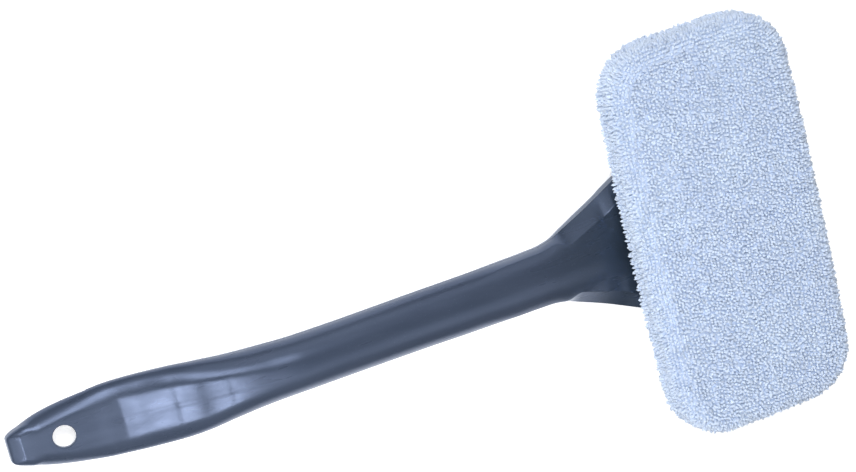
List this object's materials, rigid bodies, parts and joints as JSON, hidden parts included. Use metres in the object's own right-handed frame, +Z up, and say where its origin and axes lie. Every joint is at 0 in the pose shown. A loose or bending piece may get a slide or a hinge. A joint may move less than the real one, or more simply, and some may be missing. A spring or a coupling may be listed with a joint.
{
  "type": "windshield cleaning wand",
  "caption": "Long hollow plastic handle with a hooded yoke and a pivoting padded head under a pull-on terry bonnet, for wiping the inside of a car's windshield.",
  "frame": {"origin": "middle of the footprint, on the ground plane that the grip's belly and the yoke's heel rest on with the cleaning face up", "axes": "+X along the wand from the hanging tip to the head, +Y along the hinge, +Z up, out of the cleaning face"},
  "size_m": [0.3732, 0.18, 0.0413],
  "materials": {
    "slate_plastic": "moulded ABS, dark slate blue, satin gloss",
    "zinc_steel": "zinc-plated steel",
    "clear_adhesive": "double-sided adhesive film",
    "grey_foam": "open-cell polyurethane foam",
    "blue_terry": "looped microfibre terry, pale blue",
    "blue_binding": "folded woven hem",
    "white_elastic": "round covered elastic cord"
  },
  "bodies": {
    "handle": {"handle_front_shell": "slate_plastic", "handle_back_shell": "slate_plastic", "handle_screw_1": "zinc_steel", "handle_screw_2": "zinc_steel", "handle_screw_3": "zinc_steel", "handle_screw_4": "zinc_steel", "handle_screw_5": "zinc_steel"},
    "head": {"head_plate": "slate_plastic", "hinge_pin": "zinc_steel", "pin_cap_left": "slate_plastic", "pin_cap_right": "slate_plastic", "foam_adhesive_sheet": "clear_adhesive", "foam_pad": "grey_foam", "bonnet_cover": "blue_terry", "bonnet_hem": "blue_binding", "bonnet_elastic": "white_elastic"}
  },
  "joints": [
    {"name": "head_pivot", "type": "hinge", "parent": "handle", "child": "head", "pos_m": [0.14091, 0, 0.0073], "axis": [0, 1, 0], "range_deg": [-3, 60]}
  ]
}
